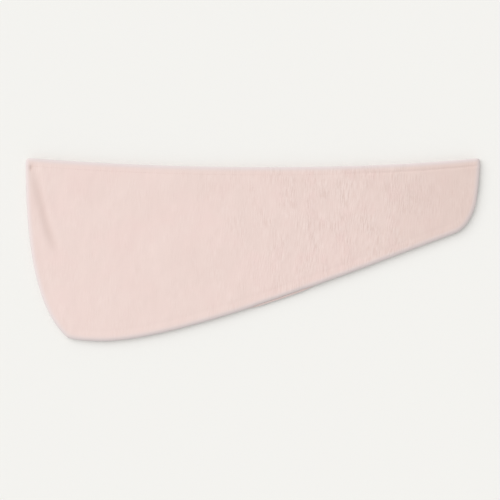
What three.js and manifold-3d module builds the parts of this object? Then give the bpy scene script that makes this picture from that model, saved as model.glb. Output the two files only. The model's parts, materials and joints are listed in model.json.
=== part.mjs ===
// A hair turban, the plush headband worn after a spa bath, lying flat on a table.
// Two matching panels of coral fleece are sewn together along the curved edge and left open along
// the straight one. The head goes into the wide end, the hair into the tail, and the tail is
// twisted, folded back and held by an elastic loop that catches a button at the nape.
// Loop and button lie under the cloth. Cloth bends where it likes, and here it bends at four named
// lines: the lip of the mouth, the fold, the twist of the tail and the root of the loop.
//
// Millimetres, +Z up, +X towards the tail, +Y towards the opening edge. The origin is the middle of
// the footprint, on the table.

import * as THREE from "three";
import { mergeVertices } from "three/addons/utils/BufferGeometryUtils.js";
import Module from "manifold-3d";

const wasm = await Module();
wasm.setup();

// ---- Driving dimensions -------------------------------------------------------------------------

// The cut of a panel
const length = 650; // the opening edge, from corner to corner
const depth = 262; // from the opening corners down to the lowest point of the seam
const tailDepth = 108; // the same at the tail, down to its round corner
const openingSag = 13.5; // how far the opening edge dips between its corners

// The cloth
const cloth = 2; // one layer, with its pile
const hemThickness = 3; // two layers, pressed together by their stitches
const thickness = 10.6; // of the whole turban as it lies
const edgeRound = 3.5; // radius of the padded outer edge
const seamAllowance = 10; // cloth turned in along the seam
const hemWidth = 14; // cloth turned in along the opening edge
const seat = 0.3; // gap between two pieces that rest on each other
const slit = 0.6; // gap between two stretches of one panel that bend against each other

// Where the cloth bends
const foldFromMiddle = 0; // the tail folds over this line, measured from the middle
const twistFromFold = 125; // start of the part of the tail that twists
const lipFromWideEnd = 40; // the lip of the mouth starts here
const lipWidth = 180; // along the opening edge
const lipDepth = 112; // from the opening edge down to the line it lifts about

// Thread
const threadRadius = 0.3;
const stitchRoom = 0.65; // radius of the furrow that a row of stitches pulls into the cloth
const hemStitchIn = 11; // hem stitches, from the opening edge
const seamStitchIn = 4; // seam stitches, from the outer edge
const edgingWidth = 1.2; // overlock thread around the raw edges of the seam allowance
const edgingEnd = 6; // how far it stops short of the hems

// Care label
const labelWidth = 28;
const labelLength = 42;
const labelThickness = 0.9; // folded double
const labelFromWideEnd = 165;

// Button
const buttonRadius = 11;
const buttonHeight = 3.6;
const buttonDish = 1.1; // depth of the hollow in its face
const buttonHoleRadius = 1;
const buttonHoleOut = 2.4; // each hole's distance from both centre lines
const buttonFromWideEnd = 31;
const buttonFromOpening = 39;
const shankRadius = 2.5;
const shankHeight = 0.7;

// The bump in the back panel over the button and over the loop
const bumpRoom = 1.5; // flat cloth beside what lies under it
const bumpSlope = 16.5; // width of the slope beside the button
const loopBumpSlope = 9.5;

// Elastic loop
const loopRadius = 1.5; // of the round elastic
const loopReach = 49.5; // from its root to its far end, along the middle of the elastic
const loopHalfWidth = 9.2;
const loopRootHalf = 2.2; // half the distance between its two ends
const loopFromTailEnd = 9;
const loopFromOpening = 37;
const loopFloor = 0.25; // height of the elastic over the table
const loopHeadroom = 0.55; // between the elastic and the cloth that it swings out from under
const tackWidth = 5;
const tackHeight = 0.6;
const tackPast = 1.2; // how far the bar tack reaches past the elastic on both sides

// ---- Places that follow from them ---------------------------------------------------------------

const wideX = -length / 2;
const tailX = length / 2;
const openY = depth / 2;
const lowY = -depth / 2;
const middleZ = thickness / 2; // the plane where the two panels meet
const foldX = foldFromMiddle;
const innerFloor = cloth; // inner face of the back panel
const innerRoof = thickness - cloth; // inner face of the front panel

// ---- Solids -------------------------------------------------------------------------------------

function solidOf(geometry) {
  const bare = geometry.index ? geometry.toNonIndexed() : geometry.clone();
  bare.deleteAttribute("normal");
  bare.deleteAttribute("uv");
  const merged = mergeVertices(bare, 1e-4);
  return new wasm.Manifold(
    new wasm.Mesh({
      numProp: 3,
      vertProperties: merged.attributes.position.array,
      triVerts: new Uint32Array(merged.index.array),
    }),
  );
}

function geometryOf(solid) {
  const { vertProperties, triVerts, numProp, numVert } = solid.getMesh();
  const positions = new Float32Array(numVert * 3);
  for (let i = 0; i < numVert; i++) {
    positions.set(vertProperties.subarray(i * numProp, i * numProp + 3), i * 3);
  }
  const geometry = new THREE.BufferGeometry();
  geometry.setAttribute("position", new THREE.BufferAttribute(positions, 3));
  geometry.setIndex(new THREE.BufferAttribute(triVerts, 1));
  geometry.computeVertexNormals();
  return geometry;
}

// A closed solid through matching outlines, each at its own height, from the lowest up.
function stack(layers) {
  const count = layers[0].points.length;
  const positions = layers.flatMap(({ points, z }) => points.flatMap((p) => [p.x, p.y, z]));
  const faces = [];
  for (let k = 0; k + 1 < layers.length; k++) {
    for (let i = 0; i < count; i++) {
      const a = k * count + i;
      const b = k * count + ((i + 1) % count);
      faces.push(a, b, b + count, a, b + count, a + count);
    }
  }
  const last = layers.length - 1;
  for (const [a, b, c] of THREE.ShapeUtils.triangulateShape(layers[0].points, [])) {
    faces.push(c, b, a);
  }
  for (const [a, b, c] of THREE.ShapeUtils.triangulateShape(layers[last].points, [])) {
    faces.push(last * count + a, last * count + b, last * count + c);
  }
  const geometry = new THREE.BufferGeometry();
  geometry.setAttribute("position", new THREE.Float32BufferAttribute(positions, 3));
  geometry.setIndex(faces);
  return solidOf(geometry);
}

// A block between two opposite corners.
function block(low, high) {
  const size = new THREE.Vector3().subVectors(high, low);
  const middle = new THREE.Vector3().addVectors(low, high).multiplyScalar(0.5);
  return solidOf(new THREE.BoxGeometry(size.x, size.y, size.z).translate(...middle));
}

// Everything on the side of an upright plane that its direction points to.
function sideOf(point, direction) {
  const reach = 2 * (length + depth);
  const turn = Math.atan2(direction.y, direction.x);
  const centre = new THREE.Vector2().copy(point).addScaledVector(direction, reach / 2);
  return solidOf(
    new THREE.BoxGeometry(reach, reach, reach).rotateZ(turn).translate(centre.x, centre.y, 0),
  );
}

// A round rod along a curve.
function rod(curve, radius, sides, steps) {
  const section = new THREE.Shape(new THREE.EllipseCurve(0, 0, radius, radius).getPoints(sides));
  return solidOf(new THREE.ExtrudeGeometry(section, { steps, extrudePath: curve, bevelEnabled: false }));
}

function upright(radius, low, high, sides) {
  return solidOf(
    new THREE.CylinderGeometry(radius, radius, high - low, sides)
      .rotateX(Math.PI / 2)
      .translate(0, 0, (low + high) / 2),
  );
}

// ---- The cut of the panels ----------------------------------------------------------------------

const at = (x, y) => new THREE.Vector2(x, y);
const bezier = (...points) => new THREE.CubicBezierCurve(...points);

const wideCorner = at(wideX, openY);
const heel = at(wideX + 59, lowY + 6);
const sole = at(wideX + 108, lowY);
const tailLow = openY - tailDepth;
const tailTurn = at(tailX - 37, tailLow);
const tailHip = at(tailX - 6.5, tailLow + 43);
const tailCorner = at(tailX, openY);

const seamStretches = [
  [bezier(wideCorner, at(wideX, openY - 101), at(wideX + 9, lowY + 51), heel), 11],
  [bezier(heel, at(wideX + 65, lowY + 1.5), at(wideX + 90, lowY), sole), 6],
  [bezier(sole, at(wideX + 215, lowY), at(tailX - 205, tailLow - 63), tailTurn), 22],
  [bezier(tailTurn, at(tailX - 23, tailLow + 5.2), at(tailX - 11, tailLow + 23), tailHip), 6],
  [bezier(tailHip, at(tailX - 3.5, openY - 49), at(tailX - 0.5, openY - 21), tailCorner), 2],
];
const dip = openY - (openingSag * 4) / 3;
const openingCurve = bezier(tailCorner, at(tailX - 155, dip), at(wideX + 205, dip), wideCorner);
const openingSteps = 24;

const seamPoints = seamStretches.flatMap(([curve, steps]) => curve.getPoints(steps).slice(0, -1));
const outline = [...seamPoints, ...openingCurve.getPoints(openingSteps).slice(0, -1)];

// The outline moved inwards, by one distance along the seam and another along the opening edge.
function inset(seamBy, openingBy) {
  const count = outline.length;
  const moved = (i) => {
    const from = outline[i];
    const along = at(0, 0).subVectors(outline[(i + 1) % count], from).normalize();
    const by = i < seamPoints.length ? seamBy : openingBy;
    return { along, point: at(from.x - along.y * by, from.y + along.x * by) };
  };
  return outline.map((_, i) => {
    const before = moved((i + count - 1) % count);
    const after = moved(i);
    const between = at(0, 0).subVectors(after.point, before.point);
    const turn = before.along.cross(after.along);
    const step = Math.abs(turn) < 1e-6 ? 0 : between.cross(after.along) / turn;
    return step === 0 ? after.point : before.point.addScaledVector(before.along, step);
  });
}

// The Y of a curve at a given X.
function curveAt(curve, x) {
  const points = curve.getPoints(400);
  return points.reduce((best, p) => (Math.abs(p.x - x) < Math.abs(best.x - x) ? p : best)).y;
}
const openingAt = (x) => curveAt(openingCurve, x);
const slopeAt = (x) => curveAt(seamStretches[2][0], x);

// A curve through the seam side of an inset outline, and through its opening side.
function seamLine(by, z) {
  const points = inset(by, hemStitchIn).slice(0, seamPoints.length + 1);
  return new THREE.CatmullRomCurve3(points.map((p) => new THREE.Vector3(p.x, p.y, z)));
}

function hemLine(z) {
  const points = inset(seamStitchIn, hemStitchIn).slice(seamPoints.length);
  return new THREE.CatmullRomCurve3(points.map((p) => new THREE.Vector3(p.x, p.y, z)));
}

// ---- Where the cloth is divided -----------------------------------------------------------------

const towardsTail = at(1, 0);
const awayFromTail = at(-1, 0);
const twistX = foldX + twistFromFold;

// The middle of the tail at an X, halfway between the seam and the opening edge.
const tailMiddle = (x) => at(x, (slopeAt(x) + openingAt(x)) / 2);

const twistPoint = tailMiddle(twistX);
const twistAxis = at(0, 0).subVectors(tailMiddle(tailTurn.x - 3), twistPoint).normalize();

const lipLeft = wideX + lipFromWideEnd;
const lipRight = lipLeft + lipWidth;
const lipHinge = openingAt((lipLeft + lipRight) / 2) - lipDepth;
const lipZone = (margin) =>
  block(
    new THREE.Vector3(lipLeft - margin, lipHinge - margin, -thickness),
    new THREE.Vector3(lipRight + margin, openY + depth, 2 * thickness),
  );

const pocketZone = sideOf(at(foldX - slit / 2, 0), awayFromTail);
const twistSide = (sign) => {
  const edge = at(0, 0).copy(twistPoint).addScaledVector(twistAxis, (sign * slit) / 2);
  return sideOf(edge, at(sign * twistAxis.x, sign * twistAxis.y));
};
const tailZone = sideOf(at(foldX + slit / 2, 0), towardsTail).intersect(twistSide(-1));
const tipZone = twistSide(1);

// ---- Bumps that the back panel makes over the button and the loop -------------------------------

// A round or long outline about a line from one X to another.
function oval(fromX, toX, y, radius) {
  const left = new THREE.EllipseCurve(fromX, y, radius, radius, Math.PI / 2, 1.5 * Math.PI);
  const right = new THREE.EllipseCurve(toX, y, radius, radius, -Math.PI / 2, Math.PI / 2);
  return [...left.getPoints(10), ...right.getPoints(10)];
}

// A smooth mound on an oval foot, standing on a base height.
function mound({ fromX, toX, y, flatRadius, footRadius, height }, base) {
  const levels = 5;
  const layers = [{ points: oval(fromX, toX, y, footRadius), z: base - thickness }];
  for (let k = 0; k <= levels; k++) {
    const rise = (1 - Math.cos((Math.PI * k) / levels)) / 2;
    const radius = footRadius + ((flatRadius - footRadius) * k) / levels;
    layers.push({ points: oval(fromX, toX, y, radius), z: base + height * rise });
  }
  return stack(layers);
}

const buttonPlace = new THREE.Vector3(
  wideX + buttonFromWideEnd,
  openingAt(wideX + buttonFromWideEnd) - buttonFromOpening,
  0,
);
const shankLow = buttonHeight + seat;
const shankHigh = shankLow + shankHeight;
const overButton = {
  fromX: buttonPlace.x - 0.05,
  toX: buttonPlace.x + 0.05,
  y: buttonPlace.y,
  flatRadius: buttonRadius + bumpRoom,
  footRadius: buttonRadius + bumpRoom + bumpSlope,
  height: shankHigh + seat,
};

const loopZ = loopFloor + loopRadius;
const loopRoot = new THREE.Vector3(
  tailX - loopFromTailEnd,
  openingAt(tailX - loopFromTailEnd) - loopFromOpening,
  loopZ,
);
const overLoop = {
  fromX: loopRoot.x - loopReach + loopRadius,
  toX: tailX + hemWidth,
  y: loopRoot.y,
  flatRadius: loopHalfWidth + bumpRoom,
  footRadius: loopHalfWidth + bumpRoom + loopBumpSlope,
  height: loopZ + loopRadius + loopHeadroom,
};

// ---- Panels -------------------------------------------------------------------------------------

// Both panels together, as one pad with a rounded edge.
function pad() {
  const layers = [];
  const steps = 3;
  const layer = (angle, z) => {
    const by = edgeRound * (1 - Math.cos(angle));
    layers.push({ points: inset(by, by), z });
  };
  for (let k = 0; k <= steps; k++) {
    const angle = (Math.PI / 2) * (1 - k / steps);
    layer(angle, edgeRound * (1 - Math.sin(angle)));
  }
  for (let k = 0; k <= steps; k++) {
    const angle = (Math.PI / 2) * (k / steps);
    layer(angle, thickness - edgeRound * (1 - Math.sin(angle)));
  }
  return stack(layers);
}

function prism(seamBy, openingBy, low, high) {
  const points = inset(seamBy, openingBy);
  return stack([
    { points, z: low },
    { points, z: high },
  ]);
}

const bothPanels = pad();
const hollow = prism(seamAllowance, hemWidth, innerFloor, innerRoof);
const mouth = prism(seamAllowance, -hemWidth, hemThickness, thickness - hemThickness);
const level = (low, high) =>
  block(new THREE.Vector3(-length, -depth, low), new THREE.Vector3(length, depth, high));
const above = (z) => level(z, 3 * thickness);
const below = (z) => level(-2 * thickness, z);
const sides = 6;
const seamSteps = 84;
const hemSteps = 54;
const seamFurrow = rod(seamLine(seamStitchIn, middleZ), stitchRoom, sides, seamSteps);
const frontStitchZ = thickness - threadRadius - 0.1;
const backStitchZ = threadRadius + 0.1;

function frontPanel() {
  const furrow = rod(hemLine(frontStitchZ), stitchRoom, sides, hemSteps);
  return bothPanels
    .intersect(above(middleZ + seat / 2))
    .subtract(hollow)
    .subtract(mouth)
    .subtract(seamFurrow)
    .subtract(furrow);
}

function backPanel() {
  const furrow = rod(hemLine(backStitchZ), stitchRoom, sides, hemSteps);
  const overlap = 1;
  const inside = prism(seamAllowance + seat, hemWidth, 0, thickness).add(
    prism(seamAllowance - overlap, hemWidth - overlap, 0, middleZ - seat / 2),
  );
  let panel = bothPanels
    .intersect(below(middleZ - seat / 2))
    .subtract(hollow)
    .subtract(mouth)
    .subtract(seamFurrow)
    .subtract(furrow);
  for (const bump of [overButton, overLoop]) {
    panel = panel.add(mound(bump, cloth).intersect(inside).intersect(above(cloth / 2)));
    panel = panel.subtract(mound(bump, 0));
  }
  return panel.subtract(tackSolid(seat));
}

// ---- Thread, edging and label -------------------------------------------------------------------

const seamThread = () => rod(seamLine(seamStitchIn, middleZ), threadRadius, sides, seamSteps);
const hemThread = (z) => rod(hemLine(z), threadRadius, sides, hemSteps);

// Overlock thread round the raw edges inside the seam. It ends short of the hems, and it rides up
// where the back panel rises over the button and the loop.
function edging() {
  const outer = seamAllowance + seat;
  const end = hemWidth + edgingEnd;
  const low = innerFloor + seat;
  const high = innerRoof - seat;
  const band = prism(outer, end, low, high).subtract(
    prism(outer + edgingWidth, end - edgingWidth, low - 1, high + 1),
  );
  return band.subtract(mound(overButton, cloth + seat)).subtract(mound(overLoop, cloth + seat));
}

// The label lies on the back panel, its foot against the edging on the slope of the seam.
function label() {
  const left = wideX + labelFromWideEnd;
  const right = left + labelWidth;
  const slope = at(right - left, slopeAt(right) - slopeAt(left));
  const edgingIn = seamAllowance + edgingWidth + 2 * seat;
  const foot = slopeAt(right) + (edgingIn * slope.length()) / slope.x;
  const low = innerFloor + seat;
  return block(
    new THREE.Vector3(left, foot, low),
    new THREE.Vector3(right, foot + labelLength, low + labelThickness),
  );
}

// ---- Button -------------------------------------------------------------------------------------

const buttonHoles = [-1, 1].flatMap((x) =>
  [-1, 1].map((y) => [x * buttonHoleOut, y * buttonHoleOut]),
);

function button() {
  const rim = buttonRadius - 3;
  const profile = [
    at(0, buttonDish),
    at(rim - 1, buttonDish),
    at(rim, buttonDish / 3),
    at(rim + 0.8, 0),
    at(buttonRadius - 0.9, 0.1),
    at(buttonRadius - 0.2, 0.8),
    at(buttonRadius, buttonHeight / 2),
    at(buttonRadius - 0.7, buttonHeight - 0.6),
    at(buttonRadius - 2.4, buttonHeight),
    at(0, buttonHeight),
  ];
  let disc = solidOf(new THREE.LatheGeometry(profile, 36).rotateX(Math.PI / 2));
  for (const [x, y] of buttonHoles) {
    disc = disc.subtract(upright(buttonHoleRadius, -1, buttonHeight + 1, 14).translate(x, y, 0));
  }
  return disc.translate(buttonPlace.x, buttonPlace.y, 0);
}

// Two crossed stitches in the hollow of the face, and the four strands through the holes.
function buttonStitches() {
  const strand = buttonHoleRadius - 0.45;
  const low = buttonDish - seat - 0.6;
  const span = 2 * buttonHoleOut * Math.SQRT2;
  const bar = (turn) =>
    solidOf(
      new THREE.BoxGeometry(span, 2 * strand, 0.6)
        .translate(0, 0, low + 0.3)
        .rotateZ(turn),
    );
  let stitches = bar(Math.PI / 4).add(bar(-Math.PI / 4));
  for (const [x, y] of buttonHoles) {
    stitches = stitches.add(upright(strand, low, buttonHeight, 8).translate(x, y, 0));
  }
  return stitches.translate(buttonPlace.x, buttonPlace.y, 0);
}

const buttonShank = () =>
  upright(shankRadius, shankLow, shankHigh, 16).translate(buttonPlace.x, buttonPlace.y, 0);

// ---- Elastic loop -------------------------------------------------------------------------------

// One strand of the loop from its root to its far end, as shares of its reach and half width.
const loopSteps = 40;
const loopStrand = [
  [0, loopRootHalf / loopHalfWidth],
  [0.12, 0.28],
  [0.28, 0.5],
  [0.48, 0.83],
  [0.69, 1],
  [0.85, 0.89],
  [0.96, 0.5],
  [1, 0],
];

function elasticLoop() {
  const side = (sign) => loopStrand.map(([along, out]) => [along * loopReach, sign * out * loopHalfWidth]);
  const route = [...side(-1), ...side(1).reverse().slice(1)];
  const points = route.map(([x, y]) => new THREE.Vector3(loopRoot.x - x, loopRoot.y + y, loopRoot.z));
  return rod(new THREE.CatmullRomCurve3(points), loopRadius, 8, loopSteps);
}

// The bar tack that sews the ends of the loop into the seam, with a margin for its place in the cloth.
function tackSolid(margin = 0) {
  const long = tackWidth / 2;
  const half = loopRootHalf + loopRadius + tackPast;
  const low = loopZ + loopRadius + seat;
  const high = low + tackHeight;
  return block(
    new THREE.Vector3(loopRoot.x - long - margin, loopRoot.y - half - margin, low - margin),
    new THREE.Vector3(loopRoot.x + long + margin, loopRoot.y + half + margin, high + margin),
  );
}

// ---- Assembly -----------------------------------------------------------------------------------

const fleece = new THREE.MeshStandardMaterial({ color: 0xead3cb, roughness: 0.95, metalness: 0 });
const thread = new THREE.MeshStandardMaterial({ color: 0xe3c6be, roughness: 0.7, metalness: 0 });
const satin = new THREE.MeshStandardMaterial({ color: 0xf4f1ec, roughness: 0.45, metalness: 0 });
const plastic = new THREE.MeshStandardMaterial({ color: 0xe8cbc2, roughness: 0.3, metalness: 0 });
const elastic = new THREE.MeshStandardMaterial({ color: 0xe6c9c0, roughness: 0.8, metalness: 0 });

const turban = new THREE.Group();
turban.name = "hair_turban";

function add(name, solid, material) {
  const mesh = new THREE.Mesh(geometryOf(solid), material);
  mesh.name = name;
  turban.add(mesh);
}

const front = frontPanel();
const back = backPanel();
const seamRow = seamThread();
const backRow = hemThread(backStitchZ);
const frontRow = hemThread(frontStitchZ);
const edge = edging();
const stretches = { pocket: pocketZone, tail: tailZone, tip: tipZone };

for (const [name, zone] of Object.entries(stretches)) {
  add(`back_panel_${name}`, back.intersect(zone), fleece);
  add(`back_hem_thread_${name}`, backRow.intersect(zone), thread);
  add(`seam_thread_${name}`, seamRow.intersect(zone), thread);
  add(`overlock_edging_${name}`, edge.intersect(zone), thread);
}
for (const name of ["tail", "tip"]) {
  add(`front_panel_${name}`, front.intersect(stretches[name]), fleece);
  add(`front_hem_thread_${name}`, frontRow.intersect(stretches[name]), thread);
}
const besideLip = pocketZone.subtract(lipZone(slit));
const lipSide = at(lipLeft, 0);
add("front_panel_pocket", front.intersect(besideLip), fleece);
add("front_panel_lip", front.intersect(lipZone(0)), fleece);
add("front_hem_thread_lip", frontRow.intersect(lipZone(0)), thread);
const rowBesideLip = frontRow.intersect(besideLip);
add("front_hem_thread_nape", rowBesideLip.intersect(sideOf(lipSide, awayFromTail)), thread);
add("front_hem_thread_pocket", rowBesideLip.intersect(sideOf(lipSide, towardsTail)), thread);
add("care_label", label(), satin);
add("button", button(), plastic);
add("button_stitches", buttonStitches(), thread);
add("button_shank", buttonShank(), thread);
add("elastic_loop", elasticLoop(), elastic);
add("loop_bar_tack", tackSolid(), thread);

export default turban;
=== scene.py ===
import json
import math

import bpy
import numpy as np
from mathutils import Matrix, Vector, noise


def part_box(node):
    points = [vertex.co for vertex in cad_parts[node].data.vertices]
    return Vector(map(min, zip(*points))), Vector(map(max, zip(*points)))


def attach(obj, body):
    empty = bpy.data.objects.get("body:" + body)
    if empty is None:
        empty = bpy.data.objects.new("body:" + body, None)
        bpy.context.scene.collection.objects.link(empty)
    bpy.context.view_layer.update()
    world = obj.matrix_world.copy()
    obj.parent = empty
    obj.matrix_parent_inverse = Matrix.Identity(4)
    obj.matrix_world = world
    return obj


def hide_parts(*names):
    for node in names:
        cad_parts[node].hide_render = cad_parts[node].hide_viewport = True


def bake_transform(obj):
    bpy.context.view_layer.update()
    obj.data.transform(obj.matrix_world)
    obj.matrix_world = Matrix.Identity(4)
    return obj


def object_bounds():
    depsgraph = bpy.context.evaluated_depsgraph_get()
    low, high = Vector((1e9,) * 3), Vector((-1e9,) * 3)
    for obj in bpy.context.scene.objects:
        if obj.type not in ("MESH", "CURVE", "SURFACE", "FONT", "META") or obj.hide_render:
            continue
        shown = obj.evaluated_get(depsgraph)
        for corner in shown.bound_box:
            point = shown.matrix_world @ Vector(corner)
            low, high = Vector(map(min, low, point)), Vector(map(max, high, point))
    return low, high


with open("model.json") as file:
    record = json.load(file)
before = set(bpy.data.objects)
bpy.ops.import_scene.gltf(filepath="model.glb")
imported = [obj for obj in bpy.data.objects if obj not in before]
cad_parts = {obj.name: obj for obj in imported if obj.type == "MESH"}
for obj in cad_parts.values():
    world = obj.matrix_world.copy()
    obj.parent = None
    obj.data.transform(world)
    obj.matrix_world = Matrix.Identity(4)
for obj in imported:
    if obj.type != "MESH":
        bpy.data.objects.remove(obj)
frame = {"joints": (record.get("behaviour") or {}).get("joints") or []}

cad_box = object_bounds()


# ---- Camera -------------------------------------------------------------------------------------
# The turban is looked at from straight above, from far enough away that its sides don't show.
# The view's centre lies a little beside the middle of the footprint.
EYE_HEIGHT = 1.99
EYE_BESIDE = (-0.0043, -0.0007)
LENS, SENSOR = 100, 36

eye = bpy.data.objects.new("camera", bpy.data.cameras.new("camera"))
eye.data.lens = LENS
eye.data.sensor_width = SENSOR
eye.location = (*EYE_BESIDE, EYE_HEIGHT)
bpy.context.scene.collection.objects.link(eye)
bpy.context.scene.camera = eye


# ---- Studio -------------------------------------------------------------------------------------
# A pale warm table under one large soft light from the upper left, with an even sky that fills
# the shadows. The shadow falls softly to the right and towards the front.
TABLE_COLOUR = (0.862, 0.855, 0.826, 1)
TABLE_ROUGHNESS = 0.9
TABLE_SIZE = 30
TABLE_GAP = 0.0002
SKY_STRENGTH = 0.64
KEY_STRENGTH = 1.66
KEY_FROM = (-0.52, 0.38, 0.77)
KEY_ANGLE = 62

bpy.context.scene.view_settings.view_transform = "Standard"
table_finish = bpy.data.materials.new("pale_table")
table_finish.use_nodes = True
table_shader = table_finish.node_tree.nodes["Principled BSDF"]
table_shader.inputs["Base Color"].default_value = TABLE_COLOUR
table_shader.inputs["Roughness"].default_value = TABLE_ROUGHNESS
table_mesh = bpy.data.meshes.new("table_top")
half = TABLE_SIZE / 2
table_corners = [(-half, -half), (half, -half), (half, half), (-half, half)]
table_mesh.from_pydata([(x, y, -TABLE_GAP) for x, y in table_corners], [], [(0, 1, 2, 3)])
table_mesh.materials.append(table_finish)
table_top = bpy.data.objects.new("table_top", table_mesh)
bpy.context.scene.collection.objects.link(table_top)

sky = bpy.data.worlds.new("sky")
sky.use_nodes = True
sky.node_tree.nodes["Background"].inputs["Color"].default_value = (1, 1, 1, 1)
sky.node_tree.nodes["Background"].inputs["Strength"].default_value = SKY_STRENGTH
bpy.context.scene.world = sky

key = bpy.data.objects.new("key_light", bpy.data.lights.new("key_light", "SUN"))
key.data.energy = KEY_STRENGTH
key.data.angle = math.radians(KEY_ANGLE)
key.rotation_mode = "QUATERNION"
key.rotation_quaternion = Vector(KEY_FROM).to_track_quat("Z", "Y")
bpy.context.scene.collection.objects.link(key)


# ---- Cut of the panels --------------------------------------------------------------------------
# Both panels have one cut: an opening edge that sags a little, a round wide end, a long slope and
# a tail end with a round lower corner. Sizes are millimetres here and metres in the meshes.
MM = 0.001
low, high = np.array(cad_box[0]) / MM, np.array(cad_box[1]) / MM
WIDE_X, TAIL_X = low[0], high[0]
LOW_Y, OPEN_Y = low[1], high[1]
TAIL_DEPTH = 108
TAIL_LOW = OPEN_Y - TAIL_DEPTH
OPENING_SAG = 13.5
THICKNESS = high[2]
MIDDLE_Z = THICKNESS / 2


def bezier(a, b, c, d, steps=160):
    """A curve from a to d that leaves towards b and arrives from c."""
    t = np.linspace(0, 1, steps)[:, None]
    a, b, c, d = (np.array(p, float) for p in (a, b, c, d))
    return a * (1 - t) ** 3 + 3 * b * t * (1 - t) ** 2 + 3 * c * t**2 * (1 - t) + d * t**3


# The corners of the cut, and the two control points of each curve between them.
wide_corner = (WIDE_X, OPEN_Y)
heel = (WIDE_X + 59, LOW_Y + 6)
sole = (WIDE_X + 108, LOW_Y)
tail_turn = (TAIL_X - 37, TAIL_LOW)
tail_hip = (TAIL_X - 6.5, TAIL_LOW + 43)
tail_corner = (TAIL_X, OPEN_Y)
dip = OPEN_Y - OPENING_SAG * 4 / 3

wide_end = bezier(wide_corner, (WIDE_X, OPEN_Y - 101), (WIDE_X + 9, LOW_Y + 51), heel)
heel_turn = bezier(heel, (WIDE_X + 65, LOW_Y + 1.5), (WIDE_X + 90, LOW_Y), sole)
long_slope = bezier(sole, (WIDE_X + 215, LOW_Y), (TAIL_X - 205, TAIL_LOW - 63), tail_turn, 400)
tail_round = bezier(tail_turn, (TAIL_X - 23, TAIL_LOW + 5.2), (TAIL_X - 11, TAIL_LOW + 23), tail_hip)
tail_rise = bezier(tail_hip, (TAIL_X - 3.5, OPEN_Y - 49), (TAIL_X - 0.5, OPEN_Y - 21), tail_corner)
opening_edge = bezier(wide_corner, (WIDE_X + 205, dip), (TAIL_X - 155, dip), tail_corner, 500)
slope_edge = np.concatenate([heel_turn, long_slope[1:]])
tail_end = np.concatenate([tail_round, tail_rise[1:]])
seam_edge = np.concatenate([wide_end, slope_edge[1:], tail_end[1:]])


def along(path, shares):
    """Points of a path at shares of its length."""
    run = np.concatenate([[0], np.cumsum(np.linalg.norm(np.diff(path, axis=0), axis=1))])
    shares = np.asarray(shares) * run[-1]
    return np.stack([np.interp(shares, run, path[:, k]) for k in range(path.shape[1])], axis=-1)


seam_line = along(seam_edge, np.linspace(0, 1, 260))
opening_line = along(opening_edge, np.linspace(0, 1, 60))


def graded(ends, count):
    """Shares from 0 to 1, finer near both ends."""
    inner = np.linspace(ends[-1], 1 - ends[-1], count)[1:-1]
    return np.concatenate([ends, inner, 1 - np.array(ends)[::-1]])


# Shares of the cut's length and depth at which the cloth has points.
LENGTHWISE = graded([0, 0.0008, 0.002, 0.004, 0.0065, 0.009, 0.012, 0.0155, 0.019, 0.023, 0.027], 290)
ACROSS = graded([0, 0.002, 0.005, 0.009, 0.014, 0.02, 0.027, 0.035, 0.044, 0.053, 0.063, 0.073], 104)


def patch(lengthwise, across):
    """Points between the four sides. A column runs from the slope up to the opening."""
    u, v = np.meshgrid(lengthwise, across, indexing="ij")
    below, above = along(slope_edge, u), along(opening_edge, u)
    left, right = along(wide_end[::-1], v), along(tail_end, v)
    u, v = u[..., None], v[..., None]
    lower = (1 - u) * slope_edge[0] + u * slope_edge[-1]
    upper = (1 - u) * opening_edge[0] + u * opening_edge[-1]
    return (1 - v) * below + v * above + (1 - u) * left + u * right - (1 - v) * lower - v * upper


grid = patch(LENGTHWISE, ACROSS)
COLUMNS, ROWS = grid.shape[:2]
flat_points = grid.reshape(-1, 2)
column_of, row_of = np.divmod(np.arange(COLUMNS * ROWS), ROWS)
on_seam = (column_of == 0) | (column_of == COLUMNS - 1) | (row_of == 0)
on_hem = row_of == ROWS - 1


# ---- How the cloth lies -------------------------------------------------------------------------
# Coral fleece, 2 mm with its pile, turned in 10 mm along the seam and 14 mm at the opening. What
# is turned in raises a soft ridge inside the seam with a groove beside it, and the panels hang a
# little slack between them. The back panel rises over the button and over the loop.
CLOTH_THICKNESS = 2.0
HEM_THICKNESS = 3.0
HEM_WIDTH = 14.0
STITCH_IN = 11.0
SEAM_ALLOWANCE = 10.0
EDGE_ROUND = 6.0
CORNER_ROUND = 3.8
FREE_EDGE_ROUND = 2.4
BUTTON_RISE, BUTTON_FLAT, BUTTON_FOOT = 4.9, 12.5, 16.5
LOOP_RISE, LOOP_FLAT, LOOP_FOOT = 3.9, 10.7, 9.5
CREASE_DEPTH, CREASE_WIDTH, CREASE_FADES_Y = 1.3, 6.6, -20
RIDGE_HEIGHT, RIDGE_WIDTH, RIDGE_BESIDE = 0.6, 6, 12
FURROW_DEPTH, FURROW_WIDTH = 0.7, 1.3
UNDER_FURROW_DEPTH = 0.8
SEAM_GROOVE_DEPTH = 0.2
SWELL_HEIGHT, SWELL_LENGTH, SWELL_SEED = 1.2, 130, 3.1
SLACK_SINKS = 0.3
RIPPLE_LENGTH, RIPPLE_SEED, UNDER_RIPPLE_SEED = 18, 9.4, 21.4
RIPPLE_HEIGHT, UNDER_RIPPLE_HEIGHT, UNDER_LIFT = 0.3, 0.25, 0.3
GATHER_HEIGHT, GATHER_LENGTH, GATHER_SEED = 0.3, 8, 14.2
TUCK_DEPTH = 1.8
TUCK_AT = (WIDE_X + 8.4, OPEN_Y - 14.5)

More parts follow.
